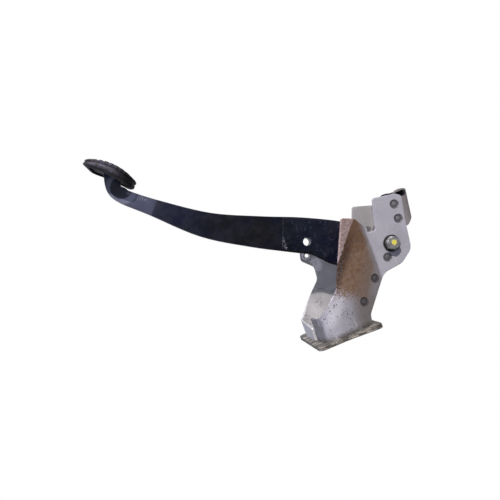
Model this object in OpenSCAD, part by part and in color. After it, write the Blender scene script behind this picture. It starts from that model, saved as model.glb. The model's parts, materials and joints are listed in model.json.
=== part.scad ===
// Hanging brake pedal in its pressed-steel bracket, as it sits in a car.
// Origin: centre of the firewall bolt pattern, on the mounting face.
// +Y points forward through the firewall, +Z up, +X to the car's right. Millimetres.

/* [Pivot] */
// Distance from the mounting face back to the pivot axis
pivot_back = 71; // [69:0.5:75]
// Height of the pivot axis above the centre of the bolt pattern
pivot_up = 76.5; // [74:0.5:80]
// Diameter of the pivot bolt
bolt_d = 8; // [7:0.5:10]
// Width of the bolt head and the nut across their flats
hex_af = 13; // [12:0.5:15]
// Height of the bolt head
head_h = 6.4; // [5:0.2:8]
// Height of the nut
nut_h = 8; // [6:0.5:10]
// Diameter of the two plain washers
washer_d = 17; // [16:0.5:20]
// Thickness of the two plain washers
washer_t = 1.6; // [1:0.2:2.4]
// Wall of the steel sleeve that the bolt clamps between the side plates
sleeve_wall = 2.4; // [1.8:0.2:2.8]
// Wall of the two plastic bushings
bushing_wall = 1.9; // [1.5:0.1:2.2]
// Wall of the tube that is welded across the top of the arm
tube_wall = 2.5; // [2:0.1:2.8]
// Room between each bushing's flange and the side plate beside it
side_room = 3.5; // [3:0.5:6]

/* [Bracket] */
// Outside width of the bracket at the pivot
bracket_w = 50; // [48:1:54]
// Thickness of the two pressed side plates
plate_t = 2.5; // [2:0.1:3]
// Angle at which the side plates flare outwards below the pivot
flare = 18; // [16:0.5:20]
// Depth of the bend line of the flare below the pivot axis
bend_drop = 21; // [19:0.5:23]
// Outside radius of the roll at the lower edge of each side plate
curl_r = 18; // [14:0.5:19]
// Thickness of the rear cap and of the front channel
web_t = 2.5; // [2:0.1:3]
// Height of the rear cap above the pivot axis
cap_up = 35.5; // [34:0.5:38]
// Drop of the cap's arched top from its middle to its shoulders
cap_arch = 3.5; // [2:0.5:5]
// Slope of the cap's top, higher at the rear
cap_slope = 8; // [5:1:10]
// Radius of the rounded shoulders of the rear cap
cap_r = 7; // [5:0.5:8]
// Width of the front channel's side flanges
channel_w = 15; // [12:0.5:16]
// Radius of the round weld marks that join the sheets
weld_r = 4.4; // [3.5:0.1:5]
// Depth of the weld marks
weld_depth = 0.5; // [0.3:0.1:0.8]

/* [Base] */
// Width of the base across the car
base_w = 102; // [98:1:108]
// Height of the base on the firewall
base_h = 67; // [65:0.5:70]
// Thickness of each of the two sheets of the base
base_t = 2; // [1.6:0.1:2.5]
// How far the sides of the base are drawn in at the middle
base_waist = 3.5; // [0:0.5:5]
// Corner radius of the base
base_r = 7; // [4:0.5:10]
// Diameter of the opening for the booster's pushrod and nose
opening_d = 40; // [34:1:42]
// Distance between bolt holes across the car
bolt_dx = 48; // [46:1:50]
// Distance between bolt holes up the firewall
bolt_dz = 36; // [34:0.5:38]
// Diameter of the bolt holes
bolt_hole_d = 9; // [8:0.5:10]

/* [Pedal] */
// Horizontal distance of the pad behind the pivot axis
pad_back = 160; // [150:1:170]
// Vertical distance of the pad below the pivot axis
pad_drop = 240; // [230:1:250]
// Thickness of the arm's bar
arm_t = 8; // [7:0.5:9]
// Thickness of the doubler plate on each side of the arm
doubler_t = 2; // [1.5:0.1:2.5]
// Distance of the pushrod hole behind the pivot axis
pushrod_back = 30; // [27:0.5:32]
// Distance of the pushrod hole below the pivot axis
pushrod_drop = 76.5; // [75:0.5:80]
// Diameter of the pushrod hole
pushrod_d = 8.2; // [7:0.1:9]

/* [Pad] */
// Tilt of the pad's face from level, front edge up
pad_tilt = 44.3; // [42:0.1:47]
// Width of the pad across the car
pad_w = 57; // [54:1:66]
// Length of the rubber pad along the foot
pad_len = 50.5; // [48:0.5:54]
// Thickness of the rubber over the pad plate
rubber_t = 7.6; // [6:0.2:8]
// Radius of the domed face along the foot
face_r = 49; // [46:1:60]
// Thickness of the steel pad plate
pad_plate_t = 2.2; // [1.8:0.1:3]
// Thickness of the rubber lip that grips the plate's edge
lip_t = 1; // [0.8:0.1:1.6]
// Number of grooves across the face
groove_n = 7; // [5:1:8]
// Width of each groove
groove_w = 2.4; // [1.5:0.1:3]
// Depth of each groove
groove_depth = 1.2; // [0.8:0.1:1.8]

/* [Return spring] */
// Diameter of the spring wire
wire_d = 2.2; // [1.8:0.1:2.4]
// Number of whole turns of the coil
coil_turns = 3; // [2:1:3]
// Pitch of the coil
coil_pitch = 2.6; // [2.5:0.1:2.8]

/* [Hidden] */
$fn = 64;

// Clearances
seat_gap = 0.05;
run_gap = 0.05;
hole_gap = 0.1;
stop_gap = 0.3;
face_gap = 0.02;

// Radii around the pivot axis, from the bolt outwards
bolt_r = bolt_d / 2;
sleeve_in = bolt_r + hole_gap;
sleeve_out = sleeve_in + sleeve_wall;
bushing_in = sleeve_out + run_gap;
bushing_out = bushing_in + bushing_wall;
tube_in = bushing_out + seat_gap;
tube_out = tube_in + tube_wall;
bushing_flange_t = 1.5;
bushing_share = 0.4;
boss_r = tube_out + 3;

// Places across the bracket
half_w = bracket_w / 2;
inner_w = half_w - plate_t;
tube_len = 2 * (inner_w - side_room - bushing_flange_t);
bushing_len = bushing_share * tube_len;
arm_half = arm_t / 2;
doubled_half = arm_half + doubler_t;
wide = 2 * base_w;

// Places on the base
seat_y = -2 * base_t;
base_low = -base_h / 2;
wall_low = base_low + 7.5;
neck_up = base_h / 2 - 5.5;
arc_n = 8;

// The pressings are drawn for a pivot 71 mm behind and 76.5 mm above the bolt pattern, and they
// stretch with it: a place from the pivot axis, the same place in the part's frame as [y, z],
// and a corner there with its radius
stretch_y = pivot_back / 71;
stretch_z = pivot_up / 76.5;
function off(y, z) = [y * stretch_y, z * stretch_z];
function piv(y, z) = off(y, z) + [-pivot_back, pivot_up];
function corner(y, z, r) = concat(piv(y, z), r * stretch_z);

// A place on the pedal from the pivot axis, in percent of the pad's distance behind and below it
function on_arm(y, z) = [y * pad_back, z * pad_drop] / 100;

function unit(v) = v / norm(v);
function left_of(v) = [-v[1], v[0]];
function turn_back(list) = [for (i = [len(list) - 1:-1:0]) list[i]];
function arc(centre, r, a0, a1, n) =
    [for (i = [0:n]) centre + r * [cos(a0 + (a1 - a0) * i / n), sin(a0 + (a1 - a0) * i / n)]];

// An outline whose corners [y, z, radius] are rounded with arcs
function rounded_corner(before, at, after, r) =
    let (
        u = unit(before - at),
        v = unit(after - at),
        half = acos(max(-1, min(1, u * v))) / 2,
        reach = r / tan(half),
        centre = at + unit(u + v) * r / sin(half),
        start = at + u * reach - centre,
        finish = at + v * reach - centre,
        a0 = atan2(start[1], start[0]),
        raw = atan2(finish[1], finish[0]) - a0,
        sweep = raw > 180 ? raw - 360 : (raw < -180 ? raw + 360 : raw)
    )
    arc(centre, r, a0, a0 + sweep, arc_n);

function flat(p) = [p[0], p[1]];
function rounded(corners) = [
    for (i = [0:len(corners) - 1])
        let (n = len(corners), p = corners[i])
        for (q = p[2] > 0 ? rounded_corner(flat(corners[(i + n - 1) % n]), flat(p),
                flat(corners[(i + 1) % n]), p[2]) : [flat(p)]) q];

// The same for an open path, whose two ends stay as they are
function rounded_path(corners) = [
    for (i = [0:len(corners) - 1])
        let (p = corners[i], inner = i > 0 && i < len(corners) - 1 && p[2] > 0)
        for (q = inner ? rounded_corner(flat(corners[i - 1]), flat(p), flat(corners[i + 1]), p[2])
                : [flat(p)]) q];

// An open path moved sideways to its left by a distance
function side_at(path, i) =
    let (
        last = len(path) - 1,
        a = unit(path[min(i + 1, last)] - path[min(i, last - 1)]),
        b = unit(path[max(i, 1)] - path[max(i - 1, 0)]),
        mean = unit(a + b)
    )
    left_of(mean) / max(0.5, mean * a);
function shifted(path, d) = [for (i = [0:len(path) - 1]) path[i] + d * side_at(path, i)];

// A closed band between two such shifts of one path
function band(path, d0, d1) = concat(shifted(path, d0), turn_back(shifted(path, d1)));

// A smooth curve through a few points
function spline_at(a, b, c, d, t) =
    0.5 * (2 * b + (c - a) * t + (2 * a - 5 * b + 4 * c - d) * t * t
        + (3 * b - a - 3 * c + d) * t * t * t);
function smooth(pts, n) = concat(
    [for (i = [0:len(pts) - 2], k = [0:n - 1])
        spline_at(pts[max(i - 1, 0)], pts[i], pts[i + 1], pts[min(i + 2, len(pts) - 1)], k / n)],
    [pts[len(pts) - 1]]);

// A flat outline in Y and Z, made solid from x0 to x1
module across(x0, x1, outline) {
    translate([x0, 0, 0]) rotate([90, 0, 90]) linear_extrude(x1 - x0) polygon(outline);
}

// A flat outline in X and Z, made solid from y0 to y1
module along(y0, y1, outline) {
    translate([0, y1, 0]) rotate([90, 0, 0]) linear_extrude(y1 - y0) polygon(outline);
}

// A round bar along X or along Y
module bar_x(r, x0, x1) {
    translate([x0, 0, 0]) rotate([0, 90, 0]) cylinder(r = r, h = x1 - x0);
}
module bar_y(r, y0, y1) {
    translate([0, y1, 0]) rotate([90, 0, 0]) cylinder(r = r, h = y1 - y0);
}

module at_pivot() { translate([0, -pivot_back, pivot_up]) children(); }
module left_side() { mirror([1, 0, 0]) children(); }

// Section of a side plate, from above the pivot down the flare and round the roll at the
// bottom; the path runs along the outer face, and its left side is the outside
bend_z = pivot_up - bend_drop;
function wall_foot(low) = half_w + (bend_z - low) * tan(flare);
function section(low, reach_in) = rounded_path([
    [half_w, pivot_up + 60, 0],
    [half_w, bend_z, 14],
    [wall_foot(low), low, curl_r],
    [reach_in, low, 0]]);

// Outer faces of the two side plates: the left one's bottom laps under the right one's
right_reach = 18;
left_reach = 16;
right_section = section(wall_low, right_reach);
left_section = section(wall_low - plate_t, -left_reach);

// Shared front and top edge of the side plates, from the rear cap down to the base
front_edge = [
    corner(-42, 27, 4),
    corner(-13, 21.5, 12),
    corner(12, 18, 12),
    corner(22.5, 4, 12),
    corner(25.5, -17, 14),
    corner(58, -47, 8),
    [seat_y, neck_up, 0]];

right_outline = rounded(concat(front_edge, [
    [seat_y, wall_low - 20, 0],
    [-28, wall_low - 20, 0],
    [-28, wall_low + 3, 3],
    corner(23, -73.4, 5),
    corner(-41, -41.5, 3),
    corner(-36, -28, 7),
    corner(-22, -18.5, 1.5),
    corner(-18, -20, 1.9),
    corner(-18, -10.5, 1.9),
    corner(-22, -10, 1.5),
    corner(-49, -3, 3),
    corner(-45.5, 21, 2)]));

left_outline = rounded(concat(front_edge, [
    [seat_y, wall_low - 20, 0],
    [-18, wall_low - 20, 0],
    [-23, wall_low + 1, 12],
    corner(14, -70, 10),
    corner(0, -69, 6),
    corner(-11, -80, 4),
    corner(-21, -78, 5),
    corner(-24, -62, 8),
    corner(-29, -40, 12),
    corner(-31, -17, 3),
    corner(-48, -10.5, 2),
    corner(-42, 12, 4),
    corner(-47, 22, 6)]));

// Where the sheets are welded to each other, from the pivot, as [y, z]
cap_welds = [piv(-36, 16.8), piv(-21, 15.6)];
channel_welds = [piv(12, -8.5), piv(27, -29), piv(44, -49)];
welds = concat(cap_welds, channel_welds);

// A wall's outward lean at a height, and the place of its outer face
function lean(z) = z < bend_z ? flare : 0;
function face_x(z) = half_w + max(0, bend_z - z) * tan(flare);

module weld_mark(p) {
    translate([face_x(p[1]), p[0], p[1]]) rotate([0, 90 - lean(p[1]), 0]) difference() {
        translate([0, 0, -weld_depth]) cylinder(r = weld_r, h = 4);
        translate([0, 0, -2]) cylinder(r = weld_r * 0.55, h = 2);
    }
}

module side_plate(path, outline) {
    difference() {
        intersection() {
            along(-wide, seat_y, band(path, 0, -plate_t));
            across(-wide, wide, outline);
        }
        at_pivot() bar_x(bolt_r + hole_gap, 0, wide);
        for (p = welds) weld_mark(p);
    }
}

module right_side_plate() {
    color([0.63, 0.63, 0.67]) side_plate(right_section, right_outline);
}

// The lug's hole and its weld nut sit square to the left plate's flare
lug = piv(-14.5, -72);
lug_hole_r = 3.4;
module at_lug() {
    translate([-face_x(lug[1]), lug[0], lug[1]]) rotate([0, 90 + flare, 0]) children();
}

module left_side_plate() {
    color([0.63, 0.63, 0.67]) difference() {
        left_side() side_plate(left_section, left_outline);
        at_lug() translate([0, 0, -4]) cylinder(r = lug_hole_r, h = 12);
    }
}

lug_nut_h = 4.5;
lug_nut_r = 4.9;
lug_thread_r = 2.1;
lug_sink = 0.9;
module lug_weld_nut() {
    color([0.55, 0.55, 0.57]) at_lug() translate([0, 0, plate_t + face_gap]) difference() {
        cylinder(r = lug_nut_r, h = lug_nut_h);
        translate([0, 0, -1]) cylinder(r = lug_thread_r, h = lug_nut_h + 2);
        translate([0, 0, lug_nut_h - lug_sink])
            cylinder(r1 = lug_thread_r, r2 = lug_thread_r + 2 * lug_sink, h = 2 * lug_sink);
    }
}

// Rear cap: a rounded channel between the tops of the side plates, with a lip at each end
cap_top = pivot_up + cap_up;
cap_half = inner_w - face_gap;
cap_low = piv(0, 9.5)[1];
crest = cap_half / 3;
cap_section = rounded_path([
    [cap_half, cap_low - 12, 0],
    [cap_half, cap_top - cap_arch, cap_r],
    [crest, cap_top, 12],
    [-crest, cap_top, 12],
    [-cap_half, cap_top - cap_arch, cap_r],
    [-cap_half, cap_low - 12, 0]]);
lip_front = piv(-11, 0)[0];
lip_low = piv(0, 17)[1];
cap_outline = rounded([
    [lip_front, cap_low, 0],
    [lip_front, cap_top - 11, 6],
    [lip_front - 9, cap_top - 1, 12],
    [lip_front - 12, cap_top + 20, 0],
    [piv(-34, 0)[0], cap_top + 20, 0],
    [piv(-34, 0)[0], cap_top + 8, 0],
    [piv(-49, 0)[0], cap_top + 3, 16],
    corner(-49, 24.5, 6),
    corner(-43, 12, 3),
    [piv(-40, 0)[0], cap_low, 0]]);

// A window in the cap's right wall leaves a thin rim, and shows its hollow over the right plate
cap_window = rounded([
    corner(-41, 16, 0),
    corner(-44, 16, 1),
    corner(-46.7, 24, 4),
    corner(-46.9, 30, 4),
    [piv(-45.4, 0)[0], cap_top - 1, 2],
    [piv(-41, 0)[0], cap_top - 2.5, 2]]);

module sloped() {
    at = [0, piv(-24, 0)[0], cap_top];
    translate(at) rotate([-cap_slope, 0, 0]) translate(-at) children();
}

module rear_cap() {
    color([0.62, 0.6, 0.62]) difference() {
        intersection() {
            union() {
                sloped() along(-wide, wide, band(cap_section, 0, web_t));
                for (at = [[lip_front - web_t, lip_low], corner(-47.8, 20, 0)]) intersection() {
                    sloped() along(-wide, wide, cap_section);
                    translate([-wide, at[0], at[1]]) cube([2 * wide, web_t, wide]);
                }
            }
            across(-wide, wide, cap_outline);
        }
        across(cap_half - 2 * web_t, wide, cap_window);
    }
}

// Front channel: a web behind the front edge of the side plates, with a flange on each
web_edge = rounded_path([
    corner(21.5, 2, 0),
    corner(24.3, -17.8, 13),
    corner(57, -48, 8),
    [seat_y, neck_up - 1.5, 0]]);
flange_outline = concat([piv(9, -1), piv(18, 4)], web_edge,
    [[seat_y, neck_up - 1.5 - channel_w], piv(45, -60), piv(14, -32), piv(5, -12)]);
function both_sides(path, d) =
    concat(shifted(path, d), [for (p = turn_back(shifted(path, d))) [-p[0], p[1]]]);

module front_channel() {
    color([0.6, 0.6, 0.63]) difference() {
        intersection() {
            union() {
                intersection() {
                    along(-wide, seat_y, both_sides(right_section, -plate_t - face_gap));
                    across(-wide, wide, band(web_edge, 0, -web_t));
                }
                intersection() {
                    difference() {
                        along(-wide, seat_y, both_sides(right_section, -plate_t - face_gap));
                        along(-wide, 0, both_sides(right_section, -plate_t - web_t - face_gap));
                    }
                    across(-wide, wide, flange_outline);
                }
            }
            translate([-wide, -wide, 0]) cube([2 * wide, 2 * wide, wide]);
        }
        at_pivot() bar_x(tube_out + 1.5, -wide, wide);
    }
}

// Base: two sheets, one on the other, with the same holes
module base_sheet(y0) {
    low = base_low;
    high = base_h / 2;
    side = base_w / 2;
    difference() {
        along(y0, y0 + base_t, rounded([
            [-side, low, base_r],
            [side, low, base_r],
            [side - base_waist, 0, 60],
            [side, high, base_r],
            [-side, high, base_r],
            [base_waist - side, 0, 60]]));
        bar_y(opening_d / 2, -20, 20);
        for (x = [-1, 1], z = [-1, 1])
            translate([x * bolt_dx / 2, 0, z * bolt_dz / 2]) bar_y(bolt_hole_d / 2, -20, 20);
    }
}

module base_plate() { color([0.5, 0.47, 0.45]) base_sheet(-2 * base_t); }
module base_backing_plate() { color([0.55, 0.55, 0.57]) base_sheet(-base_t); }

// Rubber buffer on the rear cap's front lip, which the arm's tail rests on
buffer_r = 5;
buffer_t = 3.5;
tail_front = lip_front + pivot_back - web_t - buffer_t;
buffer_up = 23.5 * stretch_z;
module stop_buffer() {
    color([0.1, 0.1, 0.1]) at_pivot() translate([0, 0, buffer_up])
        bar_y(buffer_r, tail_front, tail_front + buffer_t);
}

// Bolt, washers, nut and sleeve through the pivot
washer_out = half_w + washer_t;
module hexagon(h) { cylinder(r = hex_af / 2 / cos(30), h = h, $fn = 6); }

module pivot_bolt() {
    color([0.6, 0.59, 0.56]) at_pivot() {
        bar_x(bolt_r, -washer_out - nut_h - 4, washer_out + 1);
        translate([washer_out, 0, 0]) rotate([0, 90, 0]) hexagon(head_h);
    }
}

module washer(x0) {
    at_pivot() difference() {
        bar_x(washer_d / 2, x0, x0 + washer_t);
        bar_x(bolt_r + hole_gap, x0 - 1, x0 + washer_t + 1);
    }
}
module head_washer() { color([0.3, 0.3, 0.3]) washer(half_w); }
module nut_washer() { color([0.3, 0.3, 0.3]) washer(-washer_out); }

module pivot_nut() {
    color([0.6, 0.59, 0.56]) at_pivot() difference() {
        translate([-washer_out - nut_h, 0, 0]) rotate([0, 90, 0]) hexagon(nut_h);
        bar_x(bolt_r + seat_gap, -wide, wide);
    }
}

module pivot_sleeve() {
    color([0.7, 0.7, 0.7]) at_pivot() difference() {
        bar_x(sleeve_out, -inner_w, inner_w);
        bar_x(sleeve_in, -wide, wide);
    }
}

// Pedal arm: front and rear edge, each a smooth curve from the pivot to the pad
arm_front = smooth([
    on_arm(7.5, -1.67), on_arm(7.81, -11.67), on_arm(1.88, -23.33), on_arm(-9.69, -31.67),
    on_arm(-13.75, -36.67), on_arm(-27.5, -54.58), on_arm(-45, -73.75), on_arm(-68.75, -90.83),
    on_arm(-83.12, -101.25), on_arm(-91.88, -103.75), on_arm(-102.81, -102.5)], 6);
arm_rear = smooth([
    on_arm(-10, -4.5), on_arm(-14.4, -7.9), on_arm(-18.75, -11.67), on_arm(-24.06, -15.42),
    on_arm(-34.69, -30.42), on_arm(-44.38, -47.08), on_arm(-56.88, -66.25),
    on_arm(-74.38, -84.17), on_arm(-85.8, -94.3), on_arm(-88.9, -96), on_arm(-91.88, -97.71),
    on_arm(-95, -97.08)], 6);
tail_face = tail_front - stop_gap;
tail = [off(-13, -8), off(-26, 2), off(-27.5, 8), off(-27.5, 26), off(-25.5, 28),
    [tail_face - 2, 28 * stretch_z], [tail_face, 26 * stretch_z], [tail_face, 8 * stretch_z], off(-6, -2)];
hook_hole = off(-18, -34);

// The pad's own frame: Y along the foot, Z out of the face
module at_pad() {
    at_pivot() translate([0, -pad_back, -pad_drop]) rotate([pad_tilt, 0, 0]) children();
}

module pedal_arm() {
    color([0.07, 0.07, 0.11]) difference() {
        union() {
            at_pivot() across(-arm_half, arm_half, concat(arm_front, turn_back(arm_rear)));
            at_pivot() across(-arm_half, arm_half, tail);
            at_pivot() bar_x(boss_r, -arm_half, arm_half);
        }
        at_pivot() bar_x(tube_out + seat_gap, -wide, wide);
        pushrod_hole();
        spring_hole();
        at_pad() across(-wide, wide, above_plate_foot);
    }
}

module pushrod_hole() {
    at_pivot() translate([0, -pushrod_back, -pushrod_drop]) bar_x(pushrod_d / 2, -wide, wide);
}
module spring_hole() {
    at_pivot() translate([0, hook_hole[0], hook_hole[1]]) bar_x(wire_d / 2 + 0.5, -wide, wide);
}

// Doubler plates: the upper third of the arm, a little inside its edges
doubler_inset = 1.6;
doubler_front = shifted(smooth([on_arm(7.5, -3.33), on_arm(7.81, -11.67), on_arm(1.88, -23.33),
    on_arm(-9.69, -31.67), on_arm(-13.75, -36.67), on_arm(-18.75, -43.33)], 6), -doubler_inset);
doubler_rear = shifted(smooth([on_arm(-10.6, -5.4), on_arm(-18.75, -11.67),
    on_arm(-24.06, -15.42), on_arm(-34.69, -30.42), on_arm(-39.38, -37.92)], 6), doubler_inset);

module doubler() {
    difference() {
        union() {
            at_pivot() across(arm_half, doubled_half, concat(doubler_front, turn_back(doubler_rear)));
            at_pivot() bar_x(boss_r - 1.5, arm_half, doubled_half);
        }
        at_pivot() bar_x(tube_out + seat_gap, -wide, wide);
        pushrod_hole();
        spring_hole();
    }
}
module right_doubler() { color([0.1, 0.1, 0.16]) doubler(); }
module left_doubler() { color([0.1, 0.1, 0.16]) left_side() doubler(); }

module pivot_tube() {
    color([0.09, 0.09, 0.13]) at_pivot() difference() {
        bar_x(tube_out, -tube_len / 2, tube_len / 2);
        bar_x(tube_in, -wide, wide);
    }
}

module bushing() {
    at_pivot() difference() {
        union() {
            bar_x(bushing_out, tube_len / 2 - bushing_len, tube_len / 2);
            bar_x(tube_out - 0.5, tube_len / 2, tube_len / 2 + bushing_flange_t);
        }
        bar_x(bushing_in, -wide, wide);
    }
}
module right_bushing() { color([0.85, 0.83, 0.75]) bushing(); }
module left_bushing() { color([0.85, 0.83, 0.75]) left_side() bushing(); }

// Return spring: a coil round the tube, one leg under the front channel, one in the arm
coil_r = tube_out + 0.8 + wire_d / 2;
coil_x = -doubled_half - 0.6 - wire_d / 2;
leg_angle = 60;
end_angle = 185;
sweep_angle = 360 * coil_turns + end_angle - leg_angle;
coil_far = coil_x - coil_pitch * sweep_angle / 360;
coil_steps = 20 * coil_turns + 7;
spring_path = concat(
    [concat(coil_far, off(19, 3.8))],
    [for (i = [0:coil_steps]) let (a = leg_angle + sweep_angle * i / coil_steps)
        [coil_far + (coil_x - coil_far) * i / coil_steps, coil_r * cos(a), coil_r * sin(a)]],
    [[coil_x, hook_hole[0], hook_hole[1]]]);

function direction(path, i) = unit(path[min(i + 1, len(path) - 1)] - path[max(i - 1, 0)]);
function wire_ring(path, i, r, sides) =
    let (t = direction(path, i), u = unit(cross(t, [1, 0, 0])), v = cross(t, u))
    [for (k = [0:sides - 1]) path[i] + r * (cos(360 * k / sides) * u + sin(360 * k / sides) * v)];

module wire(path, r, sides) {
    rings = [for (i = [0:len(path) - 1]) each wire_ring(path, i, r, sides)];
    last = (len(path) - 1) * sides;
    walls = [for (i = [0:len(path) - 2], k = [0:sides - 1])
        let (n = (k + 1) % sides)
        [i * sides + k, (i + 1) * sides + k, (i + 1) * sides + n, i * sides + n]];
    ends = [[for (k = [0:sides - 1]) k], [for (k = [sides - 1:-1:0]) last + k]];
    polyhedron(rings, concat(walls, ends));
}

module return_spring() {
    color([0.4, 0.4, 0.42]) at_pivot() {
        wire(spring_path, wire_d / 2, 8);
        translate([0, hook_hole[0], hook_hole[1]]) bar_x(wire_d / 2, coil_x, 0);
    }
}

// Pad: arcs of its face and of the plate under it, in the pad's own frame
face_y = 2;
plate_top = 1.2;
plate_curve_r = 3 * pad_len;
pad_low_y = face_y - 27.5 * pad_len / 50.5;
pad_high_y = pad_low_y + pad_len;
pad_half_y = pad_len / 2 + 5;
function plate_arc(z) = let (a = asin(pad_half_y / plate_curve_r))
    arc([face_y, z - plate_curve_r], plate_curve_r, 90 + a, 90 - a, arc_n);
function face_arc() = let (a = asin(pad_half_y / face_r))
    arc([face_y, plate_top + rubber_t - face_r], face_r, 90 + a, 90 - a, 2 * arc_n);
plate_foot = plate_top - pad_plate_t;
above_plate_foot = concat(plate_arc(plate_foot), [[pad_len, 20], [-pad_len, 20]]);

// Outline of the pad seen on its face, in X and Y, moved in from its edge
function pad_plan(inset) = let (side = pad_w / 2 - inset) rounded([
    [-side, pad_low_y + inset, 12 - inset],
    [side, pad_low_y + inset, 12 - inset],
    [side, pad_high_y - inset, 22 - inset],
    [-side, pad_high_y - inset, 22 - inset]]);
module plan_block(inset, z0, z1) {
    translate([0, 0, z0]) linear_extrude(z1 - z0) polygon(pad_plan(inset));
}

plate_inset = 2.5;
lip_inset = 6;
module pad_plate() {
    color([0.1, 0.1, 0.12]) at_pad() intersection() {
        plan_block(plate_inset, -20, 20);
        across(-wide, wide, concat(plate_arc(plate_top), turn_back(plate_arc(plate_foot))));
    }
}

crown_r = pad_w * 4;
module rubber_pad() {
    color([0.09, 0.09, 0.1]) at_pad() difference() {
        intersection() {
            plan_block(0, -20, 20);
            across(-wide, wide, concat(face_arc(), turn_back(plate_arc(plate_foot - lip_t))));
            translate([0, 0, plate_top + rubber_t - crown_r]) bar_y(crown_r, -pad_len, pad_len, $fn = 200);
        }
        intersection() {
            plan_block(plate_inset, -20, 20);
            across(-wide, wide, concat(plate_arc(plate_top), [[pad_len, -20], [-pad_len, -20]]));
            union() {
                across(-wide, wide, concat(plate_arc(plate_top), turn_back(plate_arc(plate_foot))));
                plan_block(lip_inset, -20, 20);
            }
        }
        grooves();
    }
}

groove_pitch = (pad_len - 14) / groove_n;
module grooves() {
    intersection() {
        plan_block(4.5, 0, 20);
        for (i = [0:groove_n - 1])
            translate([0, face_y, plate_top + rubber_t - face_r])
                rotate([(i - (groove_n - 1) / 2) * groove_pitch / face_r * 180 / PI, 0, 0])
                    translate([-wide, -groove_w / 2, face_r - groove_depth]) cube([2 * wide, groove_w, 10]);
    }
}

right_side_plate();
left_side_plate();
rear_cap();
front_channel();
base_plate();
base_backing_plate();
lug_weld_nut();
stop_buffer();
pivot_bolt();
head_washer();
nut_washer();
pivot_nut();
pivot_sleeve();
pedal_arm();
right_doubler();
left_doubler();
pivot_tube();
right_bushing();
left_bushing();
return_spring();
pad_plate();
rubber_pad();
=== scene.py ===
import json
import math

import bmesh
import bpy
import numpy as np
from mathutils import Matrix, Vector, geometry, noise

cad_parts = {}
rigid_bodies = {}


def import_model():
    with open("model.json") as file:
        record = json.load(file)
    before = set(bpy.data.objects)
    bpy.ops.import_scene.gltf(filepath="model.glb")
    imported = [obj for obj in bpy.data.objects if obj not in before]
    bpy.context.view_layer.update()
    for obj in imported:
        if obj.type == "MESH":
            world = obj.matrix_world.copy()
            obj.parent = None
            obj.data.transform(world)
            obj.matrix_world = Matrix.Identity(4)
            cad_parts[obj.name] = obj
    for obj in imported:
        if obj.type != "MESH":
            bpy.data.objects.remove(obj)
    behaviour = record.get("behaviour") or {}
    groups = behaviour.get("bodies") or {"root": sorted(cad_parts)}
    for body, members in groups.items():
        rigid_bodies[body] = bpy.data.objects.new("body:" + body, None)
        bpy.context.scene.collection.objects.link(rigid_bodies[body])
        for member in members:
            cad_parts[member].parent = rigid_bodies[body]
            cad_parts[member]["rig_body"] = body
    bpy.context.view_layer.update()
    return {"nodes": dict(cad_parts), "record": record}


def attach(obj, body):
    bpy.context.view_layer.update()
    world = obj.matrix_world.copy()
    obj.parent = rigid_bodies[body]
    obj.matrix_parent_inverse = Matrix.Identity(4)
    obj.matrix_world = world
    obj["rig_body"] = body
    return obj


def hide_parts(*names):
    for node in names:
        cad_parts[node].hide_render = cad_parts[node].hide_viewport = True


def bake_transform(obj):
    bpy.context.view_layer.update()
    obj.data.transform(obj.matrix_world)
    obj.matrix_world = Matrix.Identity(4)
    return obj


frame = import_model()
scene = bpy.context.scene

# Camera: a phone held about 0.6 m to the car's right of the pedal and turned on its side, so that
# the picture's right is the car's up and the picture's top is the car's rear.
eye = Vector((0.58104, -0.11672, -0.12119))
look = Vector((-0.99404, 0.00632, 0.10887)).normalized()
picture_right = look.cross(Vector((0.03134, -0.93967, 0.34063))).normalized()
picture_up = picture_right.cross(look).normalized()
lens = bpy.data.cameras.new("camera")
lens.sensor_width = 36
lens.lens = 41.11
lens.clip_start = 0.05
camera = bpy.data.objects.new("camera", lens)
camera_turn = Matrix((picture_right, picture_up, -look)).transposed().to_4x4()
camera.matrix_world = Matrix.Translation(eye) @ camera_turn
scene.collection.objects.link(camera)
scene.camera = camera
scene.view_settings.view_transform = "Standard"


# Light: daylight that is brightest over the car's rear and below, dim from the camera's side, and a
# sun over the car's rear that throws the arm's shadow on the left side plate. A small bright card,
# seen only in reflections, gives the sheen on the arm. Only what the camera sees straight is white.
SKY_ALL_ROUND = 0.16
SKY_REAR = 0.55
SKY_BELOW = 0.5
SKY_CAMERA_SIDE = 0.2
SKY_LEAST = 0.05
SUN = 3.4
SUN_TOWARDS = (-0.68, 0.72, 0.08)
CARD = 0.0140
CARD_SIZE = (0.078, 0.040)
CARD_PLACE = (0.5, -0.2691, -0.1746)
CARD_LONG_SIDE = Vector((0, 0.573, 0.819))


def add(tree, kind, inputs=None, **settings):
    """Adds a shader node; each input is a plain value or the output socket that feeds it."""
    node = tree.nodes.new("ShaderNode" + kind)
    for key, value in settings.items():
        setattr(node, key, value)
    for key, value in (inputs or {}).items():
        if isinstance(value, bpy.types.NodeSocket):
            tree.links.new(value, node.inputs[key])
        else:
            node.inputs[key].default_value = value
    return node


def srgb(code):
    """A colour as it is seen, written as six hex digits, for a shader's linear socket."""
    parts = [int(code[i:i + 2], 16) / 255 for i in (0, 2, 4)]
    return (*[p / 12.92 if p <= 0.04045 else ((p + 0.055) / 1.055) ** 2.4 for p in parts], 1)


def eased(tree, value, low, high, start=0.0, end=1.0):
    """Goes softly from start to end as a value goes from low to high."""
    return add(tree, "MapRange", {"Value": value, "From Min": low, "From Max": high, "To Min": start,
                                  "To Max": end}, interpolation_type="SMOOTHSTEP").outputs["Result"]


def masked(tree, mask, *by):
    """A mask times others, each of them a mask or a plain share."""
    for other in by:
        mask = add(tree, "Math", {0: mask, 1: other}, operation="MULTIPLY").outputs[0]
    return mask


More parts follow.
